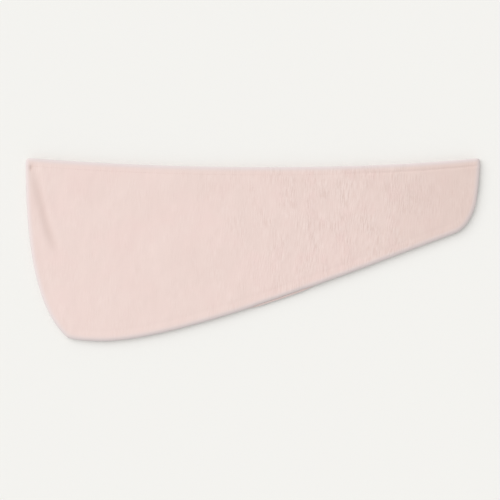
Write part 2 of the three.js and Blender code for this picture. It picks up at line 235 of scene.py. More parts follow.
crease = bezier(
    (WIDE_X + 9, OPEN_Y - 15),
    (WIDE_X + 21, OPEN_Y - 45),
    (WIDE_X + 25, OPEN_Y - 96),
    (WIDE_X + 47, OPEN_Y - 138),
    60,
)
button_box, loop_box = (np.array(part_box(name)) / MM for name in ("button", "elastic_loop"))
button_at = button_box.mean(0)[:2]
loop_end = np.array([loop_box[0][0] + 1.5, loop_box.mean(0)[1]])


BATCH = 4000


def nearest(points, path):
    """How far each point is from a path, and the place on the path that is nearest to it."""
    start, step = path[:-1], np.diff(path, axis=0)
    away = np.zeros(len(points))
    place = np.zeros((len(points), 2))
    for first in range(0, len(points), BATCH):
        some = points[first : first + BATCH]
        t = ((some[:, None] - start) * step).sum(-1) / (step * step).sum(-1)
        spots = start + np.clip(t, 0, 1)[..., None] * step
        gaps = np.linalg.norm(some[:, None] - spots, axis=-1)
        best = gaps.argmin(1)
        rows = np.arange(len(some))
        away[first : first + BATCH] = gaps[rows, best]
        place[first : first + BATCH] = spots[rows, best]
    return away, place


def smooth(t):
    """0 up to 0, 1 from 1 on, and eased between them."""
    t = np.clip(t, 0, 1)
    return t * t * (3 - 2 * t)


def dent(away, wide):
    """1 on a line, and 0 a few widths beside it."""
    return np.exp(-((away / wide) ** 2))


def wander(x, y, size, seed):
    """Smooth noise from about -1 to 1, with features of a size in millimetres."""
    places = list(zip((x / size).tolist(), (y / size).tolist()))
    coarse = np.array([noise.noise((a, b, seed)) for a, b in places])
    fine = np.array([noise.noise((a * 2, b * 2, seed + 7)) for a, b in places])
    return coarse + 0.5 * fine


def mound(x, y, centre, reach, flat, slope):
    """1 within `flat` of a line that runs `reach` along X from its centre, 0 past the slope."""
    beside = np.clip(x - centre[0], 0, reach)
    away = np.hypot(x - centre[0] - beside, y - centre[1])
    return smooth(1 - (away - flat) / slope)


def measured(points, whole):
    """Each point's distance from the seam and from the opening, and its nearest place on the seam."""
    seam, place = nearest(points, seam_line)
    hem = nearest(points, opening_line)[0]
    if whole:
        seam[on_seam] = 0
        place[on_seam] = points[on_seam]
        hem[on_hem] = 0
    return seam, hem, place


def quarter_round(away, radius):
    """The profile of a rounded edge, 0 at the edge and 1 from its radius inwards."""
    return np.sqrt(np.clip(1 - (1 - np.clip(away / radius, 0, 1)) ** 2, 0, 1))


def closed_in(outer, inner, seam, hem):
    """The free edge at the opening is round, and the seam brings both faces to the middle."""
    core = (inner + outer) / 2
    outer = core + (outer - core) * quarter_round(hem, FREE_EDGE_ROUND)
    inner = core + (inner - core) * quarter_round(hem, FREE_EDGE_ROUND)
    sewn = seam <= 0
    outer[sewn], inner[sewn] = MIDDLE_Z, MIDDLE_Z
    return outer, inner


def sewing(seam, hem):
    """Where stitches pull in, where the hem lies double and where the allowance is turned in."""
    stitched = dent(hem - STITCH_IN, FURROW_WIDTH) * smooth((seam - 3) / 4)
    doubled = smooth((HEM_WIDTH + 0.8 - hem) / 1.6)
    turned_in = smooth((SEAM_ALLOWANCE + 1.5 - seam) / 2.6)
    return stitched, doubled, turned_in


def front_surfaces(points, whole=False):
    """The height of the outer and the inner face, and how much painted shade darkens the pile in the
    crease, the stitch furrow and the tuck.
    """
    x, y = points[:, 0], points[:, 1]
    seam, hem, place = measured(points, whole)
    stitched, doubled, turned_in = sewing(seam, hem)
    outer = MIDDLE_Z + (THICKNESS - MIDDLE_Z) * quarter_round(seam, EDGE_ROUND)

    from_crease, spot = nearest(points, crease)
    right_of = np.sign(x - spot[:, 0]) * from_crease
    still_deep = smooth((spot[:, 1] - CREASE_FADES_Y) / 45)
    still_deep = still_deep * (0.6 + 0.4 * smooth((OPEN_Y - 20 - spot[:, 1]) / 25))
    groove = dent(from_crease, CREASE_WIDTH) * still_deep
    outer = outer - CREASE_DEPTH * groove
    ridge = dent(right_of - RIDGE_BESIDE, RIDGE_WIDTH) * smooth((spot[:, 1] - CREASE_FADES_Y) / 60)
    outer = outer + RIDGE_HEIGHT * ridge
    outer = outer - SEAM_GROOVE_DEPTH * dent(seam - SEAM_ALLOWANCE - 4, 3) * smooth((seam - 4) / 4)
    slack = smooth((seam - 18) / 40) * smooth((hem - 16) / 40)
    swell = SWELL_HEIGHT * wander(x, y * 0.6, SWELL_LENGTH, SWELL_SEED)
    outer = outer + slack * (swell - SLACK_SINKS)
    inside = smooth(seam / 8)
    outer = outer + inside * RIPPLE_HEIGHT * wander(x * 1.3, y * 0.7, RIPPLE_LENGTH, RIPPLE_SEED)

    # The furrow of the hem stitches is deep at the tail and hardly shows at the wide end.
    seen = 0.12 + 0.88 * smooth((x - 90) / 90)
    outer = outer - FURROW_DEPTH * seen * stitched
    gathered = dent(hem - STITCH_IN, 4.5) * smooth((seam - 3) / 4)
    outer = outer + GATHER_HEIGHT * gathered * wander(x, y * 0.2, GATHER_LENGTH, GATHER_SEED)
    tuck = dent(x - TUCK_AT[0], 1.4) * dent(y - TUCK_AT[1], 4)
    outer = outer - TUCK_DEPTH * tuck

    inner = outer - CLOTH_THICKNESS - (HEM_THICKNESS - CLOTH_THICKNESS) * doubled
    inner = inner * (1 - turned_in) + np.minimum(MIDDLE_Z + 0.1, outer) * turned_in
    outer, inner = closed_in(outer, inner, seam, hem)
    # Painted shade: the pile is darkened in the crease, along the stitch furrow and in the tuck.
    painted_shade = 0.7 * groove + 0.12 * seen * stitched + 0.9 * tuck
    return outer, inner, painted_shade, seam, hem, place


def back_surfaces(points, whole=False):
    """The same for the back panel. It lies on the table, so it is flatter."""
    x, y = points[:, 0], points[:, 1]
    seam, hem, place = measured(points, whole)
    stitched, doubled, turned_in = sewing(seam, hem)
    outer = MIDDLE_Z * (1 - quarter_round(seam, EDGE_ROUND - 1))
    ripple = UNDER_RIPPLE_HEIGHT * wander(x * 1.3, y * 0.7, RIPPLE_LENGTH, UNDER_RIPPLE_SEED)
    outer = outer + smooth(seam / 8) * np.clip(UNDER_LIFT + ripple, 0, 1)
    outer = outer + UNDER_FURROW_DEPTH * stitched
    outer = np.maximum(outer, BUTTON_RISE * mound(x, y, button_at, 0, BUTTON_FLAT, BUTTON_FOOT))
    outer = np.maximum(outer, LOOP_RISE * mound(x, y, loop_end, 80, LOOP_FLAT, LOOP_FOOT))

    inner = outer + CLOTH_THICKNESS + (HEM_THICKNESS - CLOTH_THICKNESS) * doubled
    inner = inner * (1 - turned_in) + np.maximum(MIDDLE_Z - 0.1, outer + 0.05) * turned_in
    outer, inner = closed_in(outer, inner, seam, hem)
    # Painted shade: the pile is darkened a little along the stitch furrow.
    return outer, inner, 0.3 * stitched, seam, hem, place


# ---- Where the cloth is cut into stretches ------------------------------------------------------
# One cloth runs over all the bending lines, so each panel is cut into three stretches where it
# lies still: the pocket, the fold and the tail. Rows of thread are cut at the same places. Sizes
# are metres here, and shares of the cut's length.
FOLD_FROM, TAIL_FROM = 0.469, 0.5846
ARCH_LEFT, ARCH_RIGHT, ARCH_SIDE, ARCH_DEEP = 0.028, 0.052, 0.125, 0.07

joints = {joint["name"]: joint for joint in frame["joints"]}
lip_hinge = joints["mouth_lift"]["pos_m"]
lip_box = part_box("front_panel_lip")
first_fold, first_tail = np.searchsorted(LENGTHWISE, (FOLD_FROM, TAIL_FROM)).tolist()
CUTS = [0, first_fold, first_tail, COLUMNS - 1]
STRETCHES = ["pocket", "fold", "tail"]


def bend(piece, stretch, with_lip=False):
    """Puts a piece in place. A back piece of the pocket is held by the pocket's body; other pieces only
    have their place put into their points. For the front's pocket piece the lip's arch is worked out but
    not used.
    """
    if stretch == "fold":
        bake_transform(piece)
    elif stretch == "tail":
        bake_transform(piece)
    elif not with_lip:
        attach(piece, "pocket")
    else:
        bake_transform(piece)
        places = np.zeros(len(piece.data.vertices) * 3)
        piece.data.vertices.foreach_get("co", places)
        x, y, _ = places.reshape(-1, 3).T
        left = smooth((x - lip_box[0][0] + ARCH_LEFT) / ARCH_SIDE)
        right = smooth((lip_box[1][0] + ARCH_RIGHT - x) / ARCH_SIDE)
        share = left * right * smooth((y - lip_hinge[1]) / ARCH_DEEP)


def stretch_of(points):
    """Which stretch each point lies in, by the columns where the panels are cut."""
    count = np.zeros(len(points), int)
    for column in (first_fold, first_tail):
        line = grid[column]
        count += points[:, 0] > np.interp(points[:, 1], line[:, 1], line[:, 0])
    return count


# ---- Front and back panel -----------------------------------------------------------------------
# Two panels of coral fleece from one cut. Each is a thin closed skin of a pile side and an inner
# side. At one place on the slope the back panel peeps out under the front one.


class Wire:
    """A socket of a node tree. Arithmetic on it adds Math nodes."""

    def __init__(self, tree, socket=None):
        self.tree, self.socket = tree, socket

    def node(self, kind, settings=(), output=0, **values):
        """A new node. Its inputs are given by name, or as i0, i1 and so on by place."""
        made = self.tree.nodes.new(kind)
        for name, value in dict(settings).items():
            setattr(made, name, value)
        for name, value in values.items():
            socket = made.inputs[int(name[1:]) if name[1:].isdigit() else name.replace("_", " ")]
            if isinstance(value, Wire):
                self.tree.links.new(value.socket, socket)
            else:
                socket.default_value = value
        return Wire(self.tree, made.outputs[output])

    def math(self, operation, a, b=0.0):
        return self.node("ShaderNodeMath", {"operation": operation}, i0=a, i1=b)

    def __add__(self, other):
        return self.math("ADD", self, other)

    def __radd__(self, other):
        return self.math("ADD", other, self)

    def __sub__(self, other):
        return self.math("SUBTRACT", self, other)

    def __rsub__(self, other):
        return self.math("SUBTRACT", other, self)

    def __mul__(self, other):
        return self.math("MULTIPLY", self, other)

    def __rmul__(self, other):
        return self.math("MULTIPLY", other, self)

    def ramp(self, start, end):
        """0 up to start, 1 from end on, and smooth between them."""
        return self.node(
            "ShaderNodeMapRange",
            {"interpolation_type": "SMOOTHSTEP"},
            Value=self,
            From_Min=start,
            From_Max=end,
        )

    def clamped(self):
        return self.node("ShaderNodeClamp", Value=self)

    def scaled(self, size):
        return self.node("ShaderNodeVectorMath", {"operation": "MULTIPLY"}, i0=self, i1=size)

    def noise(self, scale, detail=2.0, roughness=0.5):
        return self.node("ShaderNodeTexNoise", Vector=self, Scale=scale, Detail=detail, Roughness=roughness)

    def between(self, first, second):
        """The colour at this share from the first to the second."""
        return self.node("ShaderNodeMix", {"data_type": "RGBA"}, output=2, i0=self, i6=first, i7=second)


def new_finish(name, **constants):
    """A material, a wire to start its tree from, and its shader with the constant values set."""
    material = bpy.data.materials.new(name)
    material.use_nodes = True
    shader = material.node_tree.nodes["Principled BSDF"]
    for socket, value in constants.items():
        shader.inputs[socket.replace("_", " ")].default_value = value
    return material, Wire(material.node_tree), shader


def feed(shader, **wires):
    """Links wires to the shader's sockets of their names."""
    for socket, wire in wires.items():
        wire.tree.links.new(wire.socket, shader.inputs[socket.replace("_", " ")])


def make_piece(name, points, faces, uvs, material):
    """A smooth mesh of points in millimetres. Each point has one place in the map `cut`, in metres."""
    mesh = bpy.data.meshes.new(name)
    mesh.from_pydata((np.asarray(points) * MM).tolist(), [], faces)
    layer = mesh.uv_layers.new(name="cut")
    ends = np.zeros(len(mesh.loops), int)
    mesh.loops.foreach_get("vertex_index", ends)
    layer.data.foreach_set("uv", (np.asarray(uvs)[ends] * MM).astype(np.float32).ravel())
    mesh.materials.append(material)
    mesh.shade_smooth()
    piece = bpy.data.objects.new(name, mesh)
    bpy.context.scene.collection.objects.link(piece)
    return piece


PEEK_OUT = 2.0
PEEK_FROM, PEEK_TO, PEEK_EASE = -12, 92, 24
SLOPE_WAY = (0.33, -0.944)
EDGE_WAVER, WAVER_LENGTH, WAVER_SEED = 0.35, 45, 31.0
# How much painted sheen and painted shade the inner side gets.
INSIDE_PAINTED_SHEEN, INSIDE_PAINTED_SHADE = 0.3, 0.1
FLEECE_DARK = (0.745, 0.578, 0.532, 1)
FLEECE_LIGHT = (0.868, 0.716, 0.672, 1)
# Painted shade that darkens the pile towards the tail.
FLEECE_SHADE = (0.64, 0.505, 0.45, 1)
# Painted sheen along the rounded rims of the cloth.
PAINTED_SHEEN_TONE = (0.745, 0.675, 0.674, 1)
PINKER = (0.84, 0.645, 0.61, 1)
# Painted shade in the crease, the stitch furrows and the tuck.
PAINTED_SHADE_COLOUR = (0.62, 0.475, 0.43, 1)


def fleece_finish():
    """The pile lies down the cloth in short clumps, brushed up more towards the tail."""
    material, wires, shader = new_finish(
        "coral_fleece",
        Sheen_Weight=0.2,
        Sheen_Roughness=0.5,
        Sheen_Tint=(1.0, 0.93, 0.94, 1),
        Specular_IOR_Level=0.12,
    )
    flat = wires.node("ShaderNodeUVMap", {"uv_map": "cut"})
    # Painted shade of the crease, the stitch furrows and the tuck, read from the cloth's points.
    painted_shade = wires.node("ShaderNodeAttribute", {"attribute_name": "painted_shade"}, output=2)
    # Painted sheen along the rims, read from the cloth's points.
    painted_sheen = wires.node("ShaderNodeAttribute", {"attribute_name": "painted_sheen"}, output=2)
    lengthwise = wires.node("ShaderNodeSeparateXYZ", Vector=flat)

    # Clumps and hairs are long down the cloth, and lean and bend a little.
    bent = (flat.noise(9.0, 1.0) - 0.5) * 0.012
    shift = wires.node("ShaderNodeCombineXYZ", X=bent)
    combed = wires.node("ShaderNodeVectorMath", {"operation": "ADD"}, i0=flat, i1=shift)
    slanted = wires.node("ShaderNodeVectorRotate", Vector=combed, Angle=0.06)
    clumps = slanted.scaled((1, 0.09, 1)).noise(720, 2.0, 0.45)
    hairs = slanted.scaled((1, 0.15, 1)).noise(1500, 2.0, 0.6)
    patches = slanted.scaled((1, 0.5, 1)).noise(75, 2.0, 0.5)
    cloudy = flat.noise(17, 2.0, 0.5)

    # How much the pile is brushed up: little in the wide end, most in the slope's second half.
    brushed = 0.14 + 0.9 * lengthwise.ramp(-0.12, 0.17) - 0.55 * lengthwise.ramp(0.19, 0.29)
    brushed = brushed * (0.4 + 1.2 * flat.scaled((1.6, 0.8, 1)).noise(26, 1.0).ramp(0.36, 0.64))
    streak = ((clumps - 0.5) * 2.9 + (hairs - 0.5) * 0.8) * brushed

    # The colour of the pile, then painted shade that darkens it slowly towards the tail, painted sheen at
    # the rims and painted shade in creases.
    tone = 0.62 + streak + (cloudy - 0.5) * 0.4 + (patches - 0.5) * 0.25 * brushed
    colour = tone.ramp(-0.15, 1.15).between(FLEECE_DARK, FLEECE_LIGHT)
    flush = flat.noise(13, 1.0).ramp(0.42, 0.7) * 0.3
    flush = flush + flat.noise(42, 1.0).ramp(0.5, 0.68) * (0.1 + 0.25 * brushed)
    colour = flush.between(colour, PINKER)
    # Painted shade: the pile darkens slowly towards the tail.
    shaded = (lengthwise * 1.3 + 0.4).clamped() * 0.34 + lengthwise.ramp(0.12, 0.3) * 0.22
    colour = shaded.between(colour, FLEECE_SHADE)
    # Painted sheen: a paler, greyer tone along the rims.
    colour = (painted_sheen * 0.85).between(colour, PAINTED_SHEEN_TONE)
    # Painted shade in the crease, the stitch furrows and the tuck.
    colour = (painted_shade * 0.6).between(colour, PAINTED_SHADE_COLOUR)
    height = (clumps + hairs * 0.4) * brushed + patches * 0.15
    bump = wires.node("ShaderNodeBump", Height=height, Strength=0.45, Distance=0.001)
    feed(shader, Base_Color=colour, Roughness=0.84 + (clumps - 0.5) * 0.2, Normal=bump)
    return material


pile = fleece_finish()


def panel(side, surfaces, sign):
    """The three stretches of one panel. Its faces are welded along the seam and the opening."""
    outer, inner, painted_shade, seam, hem, place = surfaces(flat_points, whole=True)
    outwards = np.where(seam[:, None] > 0.01, (place - flat_points) / np.maximum(seam, 0.01)[:, None], 0)

    # At the peek the back panel's edge is pushed out from under the front one. Elsewhere the edges
    # of both wander a little, and the corners are rounded.
    at_peek = smooth((place[:, 0] - PEEK_FROM) / PEEK_EASE)
    at_peek = at_peek * smooth((PEEK_TO - place[:, 0]) / PEEK_EASE) * (place[:, 1] < 0)
    ends = seam <= 0
    toward = np.zeros_like(outwards)
    toward[ends & (row_of == 0)] = SLOPE_WAY
    toward[~ends] = outwards[~ends]
    push = (PEEK_OUT if sign < 0 else -0.5) * at_peek * smooth((9 - seam) / 9)
    waver = EDGE_WAVER * wander(place[:, 0], place[:, 1], WAVER_LENGTH, WAVER_SEED)
    push = push + waver * smooth((16 - seam) / 16) * ~on_hem
    push[(column_of == 0) | (column_of == COLUMNS - 1)] = 0
    spots = flat_points + toward * push[:, None]
    for corner, way in ((wide_corner, (1, -1)), (tail_corner, (-1, -1))):
        away = np.linalg.norm(flat_points - corner, axis=1)[:, None]
        spots = spots + CORNER_ROUND / 2 * np.exp(-away / CORNER_ROUND) * way
    if sign < 0:
        outer = outer - 1.2 * at_peek * smooth((3 - seam) / 3) * (outer > 2)
        inner = np.where(ends, outer, inner)
    slope_down = np.abs(outer - (THICKNESS if sign > 0 else 0)) * smooth((EDGE_ROUND + 1 - seam) / 3)
    uvs = spots + toward * slope_down[:, None] * 0.8

    # The two skins share their points along the seam and the opening.
    welded = on_seam | on_hem
    below = np.where(welded, np.arange(len(spots)), len(spots) + np.cumsum(~welded) - 1)
    points = np.column_stack([spots, outer])
    points = np.concatenate([points, np.column_stack([spots, inner])[~welded]])
    uvs = np.concatenate([uvs, uvs[~welded]])
    # Painted sheen: a paler tone along the seam and the opening, weaker on the inner side.
    painted_sheen = np.maximum(smooth(1 - seam / 9), smooth(1 - hem / 8))
    painted_sheen = np.concatenate([painted_sheen, INSIDE_PAINTED_SHEEN * painted_sheen[~welded]])
    # Painted shade: the inner side is darkened a little all over.
    painted_shade = np.concatenate([painted_shade, np.full(np.count_nonzero(~welded), INSIDE_PAINTED_SHADE)])

    def quads(first, last):
        """The faces of the pile side and of the inner side between two columns."""
        a = (np.arange(first, last)[:, None] * ROWS + np.arange(ROWS - 1)).reshape(-1)
        top = np.column_stack([a, a + ROWS, a + ROWS + 1, a + 1])
        return (top, below[top[:, ::-1]]) if sign > 0 else (top[:, ::-1], below[top])

    # Normals come from the whole panel, so that no line shows where it is cut.
    whole = make_piece(f"{side}_whole", points, np.concatenate(quads(0, COLUMNS - 1)).tolist(), uvs, pile)
    normals = np.zeros(len(points) * 3)
    whole.data.vertex_normals.foreach_get("vector", normals)
    normals = normals.reshape(-1, 3)
    bpy.data.meshes.remove(whole.data)

    made = []
    for stretch, first, last in zip(STRETCHES, CUTS[:-1], CUTS[1:]):
        skin = [face for faces in quads(first, last) for face in faces.tolist()]

        # A strip of faces between the two skins closes each cut.
        caps = []
        for column, turned in ((first, sign > 0), (last, sign < 0)):
            if column in (0, COLUMNS - 1):
                continue
            for row in range(ROWS - 1):
                a = column * ROWS + row
                ring = [a, a + 1, int(below[a + 1]), int(below[a])]
                ring = [v for k, v in enumerate(ring) if v not in ring[:k]]
                caps.append(ring if turned else ring[::-1])
        used, renamed = np.unique(np.concatenate([np.array(f) for f in skin + caps]), return_inverse=True)
        cuts_at = np.cumsum([len(f) for f in skin + caps])[:-1]
        faces = [f.tolist() for f in np.split(renamed, cuts_at)]
        piece = make_piece(f"{side}_cloth_{stretch}", points[used], faces, uvs[used], pile)
        own = normals[used][renamed]
        ends_of_skin = 4 * len(skin)
        flat_way = np.zeros(len(piece.data.polygons) * 3)
        piece.data.polygons.foreach_get("normal", flat_way)
        flat_way = flat_way.reshape(-1, 3)[len(skin) :]
        own[ends_of_skin:] = np.repeat(flat_way, [len(f) for f in caps], axis=0)
        piece.data.normals_split_custom_set(own.tolist())
        for name, values in (("painted_shade", painted_shade), ("painted_sheen", painted_sheen)):
            layer = piece.data.attributes.new(name, "FLOAT", "POINT")
            layer.data.foreach_set("value", values[used].astype(np.float32))
        size = np.ptp(points[used][:, :2], axis=0) * MM
        area = sum(f.area for f in piece.data.polygons) / 2
        made.append((stretch, piece, size.tolist(), min(area, float(size.prod()))))
    return made


stands_for = {"pocket": ["pocket"], "fold": ["tail"], "tail": ["tip"]}
for side, surfaces, sign in (("back", back_surfaces, -1), ("front", front_surfaces, 1)):
    for stretch, piece, size, area in panel(side, surfaces, sign):
        bend(piece, stretch, with_lip=side == "front")
        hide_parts(*[f"{side}_panel_{body}" for body in stands_for[stretch]])
        if side == "front" and stretch == "pocket":
            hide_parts("front_panel_lip")


# ---- Rows of thread -----------------------------------------------------------------------------
# Polyester thread in the cloth's tone. Running stitches hold the hems and the seam, and loops of
# overlock thread wrap the raw edge inside the seam.
THREAD_TONE = (0.72, 0.55, 0.505, 1)
THREAD_PALE = (0.82, 0.665, 0.62, 1)
SEAM_STITCH_IN = 4
EDGING_IN = SEAM_ALLOWANCE + 1.1
SUNK_ON_TOP, SUNK_UNDER = 0.08, 0.12
LOWEST_UNDER = 0.5
HEM_STITCH_END, SEAM_STITCH_END, EDGING_END = 4.5, 11.5, 6
RISEN = 1.3
LONGEST_STEP = 4


def thread_finish():
    """Twisted fibres with a soft gleam. The tone changes a little from place to place."""
    material, wires, shader = new_finish("sewing_thread", Specular_IOR_Level=0.35)
    place = wires.node("ShaderNodeTexCoord", output=3)
    fibres = place.noise(4200, 2.0, 0.6)
    patches = place.noise(160, 1.0)
    colour = (fibres * 0.6 + patches * 0.5).ramp(0.3, 0.8).between(THREAD_TONE, THREAD_PALE)
    bump = wires.node("ShaderNodeBump", Height=fibres, Strength=0.5, Distance=0.0001)
    feed(shader, Base_Color=colour, Roughness=0.48 + fibres * 0.2, Normal=bump)
    return material


thread = thread_finish()
ROW_INPUTS = ["Pitch", "Length", "Radius", "Rise", "Lean", "Unevenness"]


def row_tree(name, looped):
    """Sets one stitch, or one loop around the line, at every pitch along a line of edges."""
    tree = bpy.data.node_groups.new(name, "GeometryNodeTree")
    tree.interface.new_socket("Line", in_out="INPUT", socket_type="NodeSocketGeometry")
    for label in ROW_INPUTS:
        tree.interface.new_socket(label, in_out="INPUT", socket_type="NodeSocketFloat")
    tree.interface.new_socket("Thread", in_out="INPUT", socket_type="NodeSocketMaterial")
    tree.interface.new_socket("Stitches", in_out="OUTPUT", socket_type="NodeSocketGeometry")
    given = tree.nodes.new("NodeGroupInput")
    line, pitch, length, radius, rise, lean, uneven, material = (
        Wire(tree, given.outputs[k]) for k in range(8)
    )
    wires = Wire(tree)
    if looped:
        ring = wires.node("GeometryNodeCurvePrimitiveCircle", Resolution=10, Radius=1.0)
        size = wires.node("ShaderNodeCombineXYZ", X=rise, Y=length, Z=1.0)
        turn = wires.node("ShaderNodeCombineXYZ", Y=math.pi / 2, Z=lean)
        shape = wires.node("GeometryNodeTransform", Geometry=ring, Rotation=turn, Scale=size)
    else:
        x = length * 0.5 * lean.math("COSINE", lean)
        y = length * 0.5 * lean.math("SINE", lean)
        start = wires.node("ShaderNodeCombineXYZ", X=0 - x, Y=0 - y, Z=0 - rise)
        top = wires.node("ShaderNodeCombineXYZ", Z=rise * 2)
        end = wires.node("ShaderNodeCombineXYZ", X=x, Y=y, Z=0 - rise)
        shape = wires.node(
            "GeometryNodeCurveQuadraticBezier", Resolution=6, Start=start, Middle=top, End=end
        )
    profile = wires.node("GeometryNodeCurvePrimitiveCircle", Resolution=5, Radius=radius)
    stitch = wires.node("GeometryNodeCurveToMesh", Curve=shape, Profile_Curve=profile, Fill_Caps=not looped)
    path = wires.node("GeometryNodeMeshToCurve", Mesh=line)
    resampled = wires.node("GeometryNodeResampleCurve", {"mode": "LENGTH"}, Curve=path, Length=pitch)
    tangent = wires.node("GeometryNodeInputTangent")
    facing = wires.node(
        "FunctionNodeAlignRotationToVector", {"axis": "X", "pivot_axis": "Z"}, Vector=tangent
    )
    size = wires.node("FunctionNodeRandomValue", output=1, i2=1 - uneven, i3=1 + uneven, Seed=4)
    placed = wires.node(
        "GeometryNodeInstanceOnPoints", Points=resampled, Instance=stitch, Rotation=facing, Scale=size
    )
    solid = wires.node("GeometryNodeRealizeInstances", Geometry=placed)
    painted = wires.node("GeometryNodeSetMaterial", Geometry=solid, Material=material)
    tree.links.new(painted.socket, tree.nodes.new("NodeGroupOutput").inputs[0])
    return tree


stitch_row = row_tree("row_of_stitches", looped=False)
loop_row = row_tree("row_of_loops", looped=True)


def sew(name, tree, paths, sizes):
    """One mesh of the stitches on some paths. Sizes are Pitch to Unevenness, in millimetres."""
    line = bpy.data.meshes.new(name + "_line")
    edges, first = [], 0
    for path in paths:
        edges += [(k, k + 1) for k in range(first, first + len(path) - 1)]
        first += len(path)
    line.from_pydata((np.concatenate(paths) * MM).tolist(), edges, [])
    holder = bpy.data.objects.new(name + "_line", line)
    bpy.context.scene.collection.objects.link(holder)
    modifier = holder.modifiers.new("stitches", "NODES")
    modifier.node_group = tree
    values = [*(size * MM for size in sizes[:4]), *sizes[4:], thread]
    for socket, value in zip([s for s in tree.interface.items_tree if s.in_out == "INPUT"][1:], values):
        modifier[socket.identifier] = value
    evaluated = holder.evaluated_get(bpy.context.evaluated_depsgraph_get())
    mesh = bpy.data.meshes.new_from_object(evaluated)
    mesh.name = name
    mesh.shade_smooth()
    bpy.data.objects.remove(holder)
    piece = bpy.data.objects.new(name, mesh)
    bpy.context.scene.collection.objects.link(piece)
    return piece


def inset_line(edge, by, step=1.5):
    """A line beside an edge, on the side of the middle of the cloth."""
    count = int(np.linalg.norm(np.diff(edge, axis=0), axis=1).sum() / step)
    line = along(edge, np.linspace(0, 1, count))
    way = np.gradient(line, axis=0)
    side = np.column_stack([-way[:, 1], way[:, 0]]) / np.linalg.norm(way, axis=1)[:, None]
    return line + side * by


# Hem and seam stitches stop just short of each other. The edging keeps clear of the hem, and is
# left out where the back panel rises over the button and the loop.
hem_line = inset_line(opening_edge, -STITCH_IN)
hem_line = hem_line[nearest(hem_line, seam_line)[0] > HEM_STITCH_END]
seam_stitch_line = inset_line(seam_edge, SEAM_STITCH_IN)
seam_stitch_line = seam_stitch_line[nearest(seam_stitch_line, opening_line)[0] > SEAM_STITCH_END]
edging_line = inset_line(seam_edge, EDGING_IN)
edging_line = edging_line[nearest(edging_line, opening_line)[0] > HEM_WIDTH + EDGING_END]
edging_line = edging_line[nearest(edging_line, seam_line)[0] > SEAM_ALLOWANCE + 0.9]
edging_line = edging_line[back_surfaces(edging_line)[0] < RISEN]

# Name, tree, line, level, sizes from Pitch to Unevenness, and the name of what it stands for.
ROWS_OF_THREAD = [
    ("front_hem", stitch_row, hem_line, "top", (3.2, 2.5, 0.26, 0.2, 0, 0.08), "front_hem_thread"),
    ("back_hem", stitch_row, hem_line, "under", (3.2, 2.5, 0.26, 0.2, 0, 0.08), "back_hem_thread"),
    ("seam", stitch_row, seam_stitch_line, "middle", (2.8, 2.3, 0.25, 0.1, 0, 0.05), "seam_thread"),
    ("overlock", loop_row, edging_line, "middle", (2.3, 0.95, 0.2, 2.4, 0.5, 0.06), "overlock_edging"),
]
for label, tree, line, level, sizes, node in ROWS_OF_THREAD:
    heights = np.full(len(line), MIDDLE_Z)
    if level == "top":
        heights = front_surfaces(line)[0] - SUNK_ON_TOP
    elif level == "under":
        heights = np.maximum(back_surfaces(line)[0] - SUNK_UNDER, LOWEST_UNDER)
    points = np.column_stack([line, heights])
    inside = stretch_of(line)
    for number, stretch in enumerate(STRETCHES):
        own = points[inside == number]
        gaps = np.flatnonzero(np.linalg.norm(np.diff(own, axis=0), axis=1) > LONGEST_STEP) + 1
        paths = [run for run in np.split(own, gaps) if len(run) > 1]
        piece = sew(f"{label}_stitches_{stretch}", tree, paths, sizes)
        bend(piece, stretch, with_lip=label == "front_hem")
        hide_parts(*[f"{node}_{body}" for body in stands_for[stretch]])
        if label == "front_hem" and stretch == "pocket":
            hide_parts("front_hem_thread_nape", "front_hem_thread_lip")


# ---- Care label ---------------------------------------------------------------------------------
# A ribbon of white satin, folded double and caught in the seam of the back panel. It is blank but
# for a woven border.
RIBBON_THICKNESS = 0.32
SATIN = (0.86, 0.83, 0.80, 1)
SATIN_BORDER = (0.72, 0.64, 0.61, 1)
RIBBON_STEPS = 40
CAUGHT_IN = 3
BOW_ROOM, BOW_REACH = 0.6, 0.55
LABEL_GAP, LABEL_LIFT, LABEL_WAVE = 0.25, 0.5, 0.12

label_box = np.array(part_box("care_label")) / MM
material, wires, shader = new_finish("satin_ribbon", Specular_IOR_Level=0.5)
flat = wires.node("ShaderNodeUVMap", {"uv_map": "cut"})
ribs = flat.scaled((1, 0.05, 1)).noise(5200, 1.0)
weave = flat.scaled((0.2, 1, 1)).noise(4200, 1.0)
across = wires.node("ShaderNodeSeparateXYZ", Vector=flat)
across = across.math("ABSOLUTE", across)
border = across.ramp(0.0112, 0.0116) - across.ramp(0.0124, 0.0128)
shade = (ribs * 0.4 + weave * 0.4 + border * 0.35).ramp(0.2, 1.2)
colour = shade.between(SATIN, SATIN_BORDER)
bump = wires.node("ShaderNodeBump", Height=ribs + weave, Strength=0.3, Distance=0.0001)
feed(shader, Base_Color=colour, Roughness=0.34 + ribs * 0.2, Normal=bump)

label_x = np.linspace(label_box[0][0], label_box[1][0], 25)
foot, head = label_box[0][1] - CAUGHT_IN, label_box[1][1] - BOW_ROOM
run_up = np.linspace(foot, head, RIBBON_STEPS)
turn = np.linspace(-math.pi / 2, math.pi / 2, 10)[1:-1]
gap = RIBBON_THICKNESS * 1.15
rows = []
for x in label_x:
    floor = back_surfaces(np.column_stack([np.full(RIBBON_STEPS, x), run_up]))[1]
    lift = LABEL_GAP + LABEL_LIFT * smooth((run_up - foot) / 30) + LABEL_WAVE * math.sin(x * 0.5)
    low_line = np.column_stack([run_up, floor + lift])
    bow_heights = low_line[-1, 1] + gap / 2 * (1 + np.sin(turn))
    bow = np.column_stack([head + BOW_REACH * np.cos(turn), bow_heights])
    rows.append(np.vstack([low_line, bow, (low_line + (0, gap))[::-1]]))
centre = np.array(rows)
way = np.gradient(centre, axis=1)
through = np.stack([-way[..., 1], way[..., 0]], axis=-1) / np.linalg.norm(way, axis=-1)[..., None]
faces_of = [centre - through * RIBBON_THICKNESS / 2, centre + through * RIBBON_THICKNESS / 2]
steps = centre.shape[1]
run = np.concatenate([[0], np.cumsum(np.linalg.norm(np.diff(centre[0], axis=0), axis=1))])

